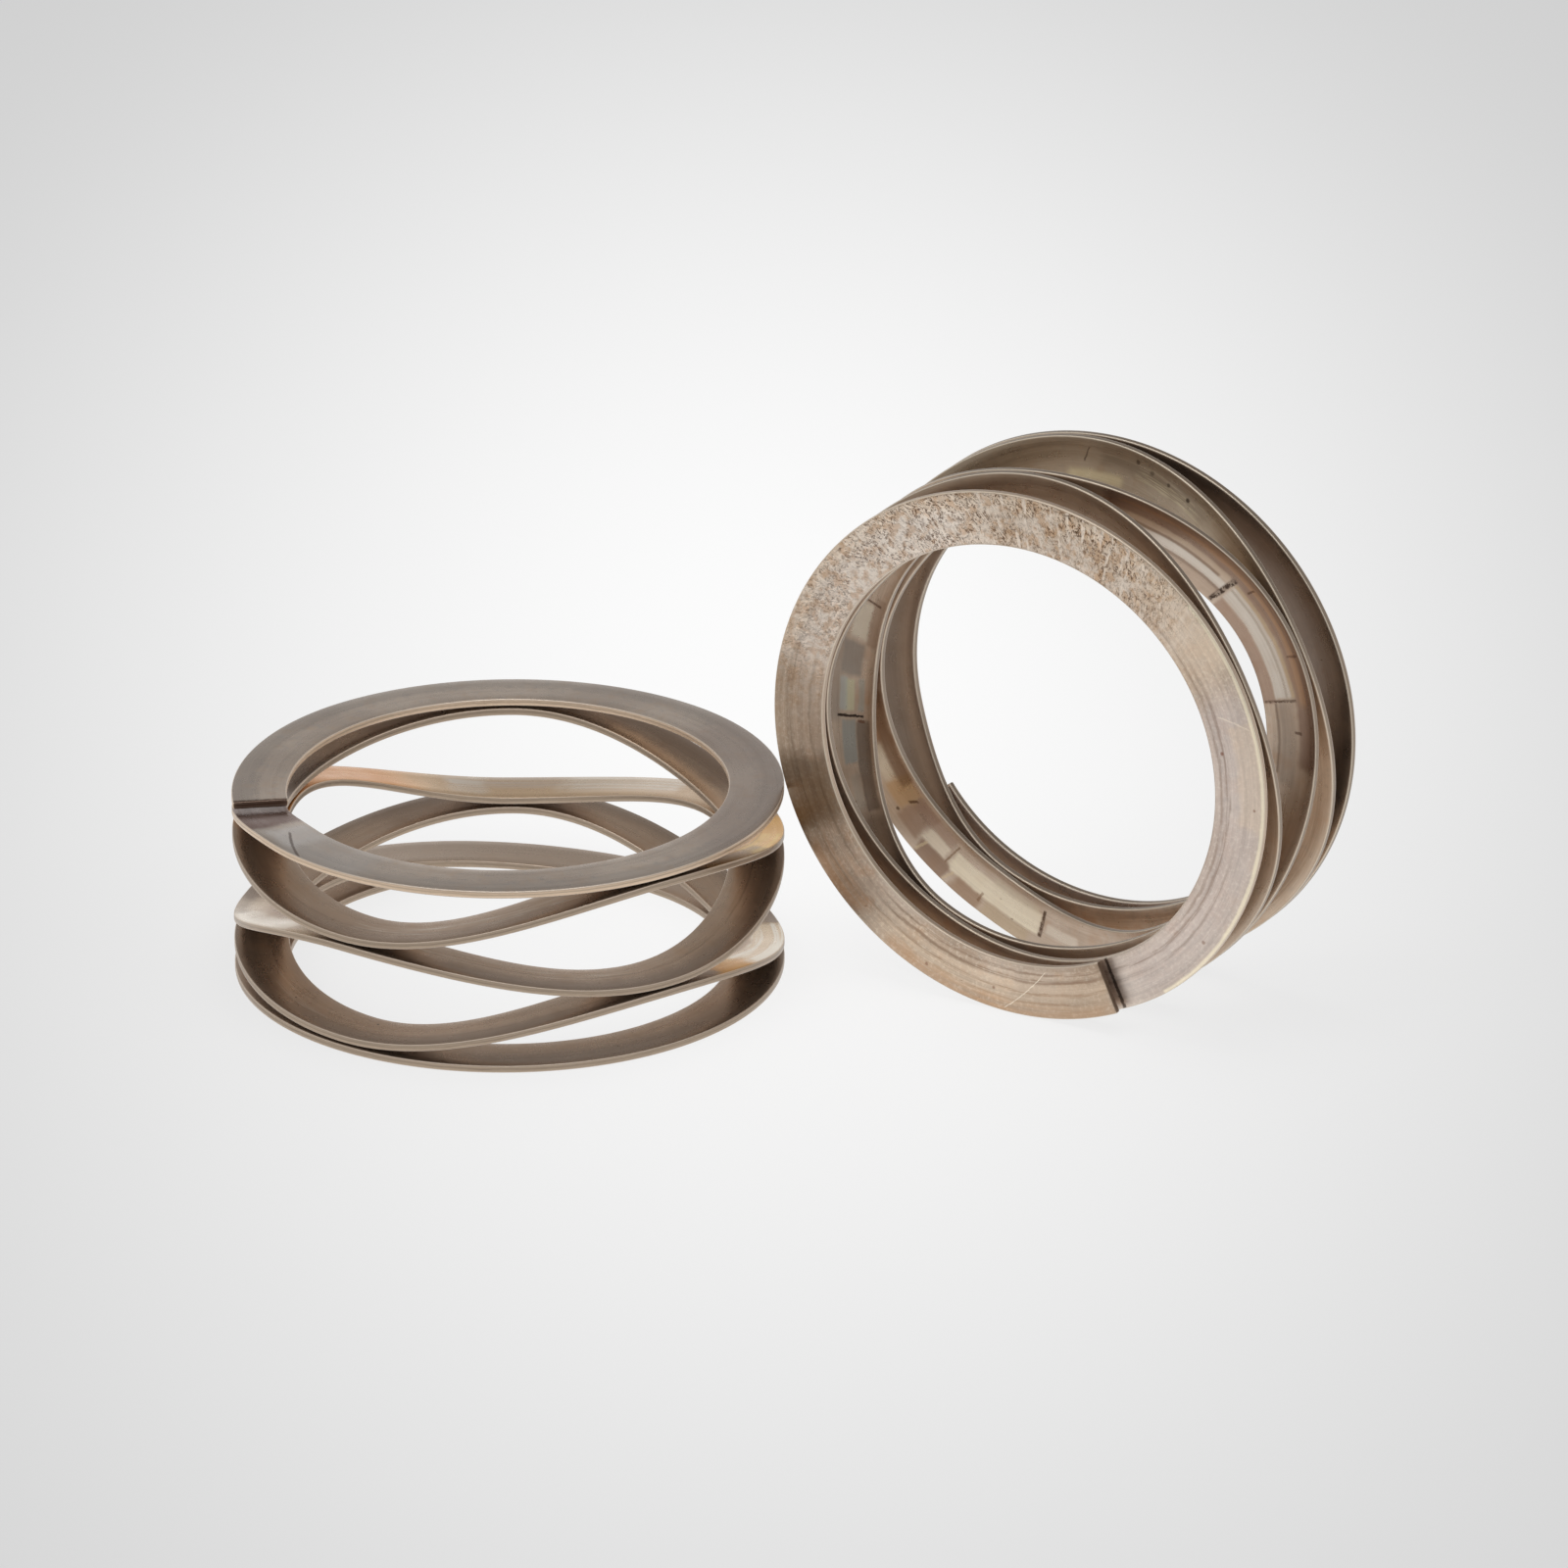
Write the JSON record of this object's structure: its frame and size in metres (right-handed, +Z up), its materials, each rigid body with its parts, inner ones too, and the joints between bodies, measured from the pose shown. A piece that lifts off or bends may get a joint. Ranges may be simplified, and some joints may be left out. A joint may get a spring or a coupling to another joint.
{
  "type": "pair of wave spring washers",
  "caption": "Multi-turn wave springs of edge-wound flat wire with flat end turns, which press machine parts apart along their axis in a short space.",
  "frame": {"origin": "centre of the upright spring's seat, in the plane that both springs stand on", "axes": "+Z up along the upright spring's bore, +X towards the tipped spring, -Y towards the front"},
  "size_m": [0.0809, 0.04, 0.04],
  "materials": {
    "tarnished_grey_steel": "satin spring steel with a warm grey-brown tarnish and golden stains",
    "tarnished_tan_steel": "satin spring steel with a tan and pinkish tarnish and rubbed edges"
  },
  "bodies": {
    "root": {"upright_spring": "tarnished_grey_steel", "tipped_spring": "tarnished_tan_steel"}
  },
  "joints": []
}
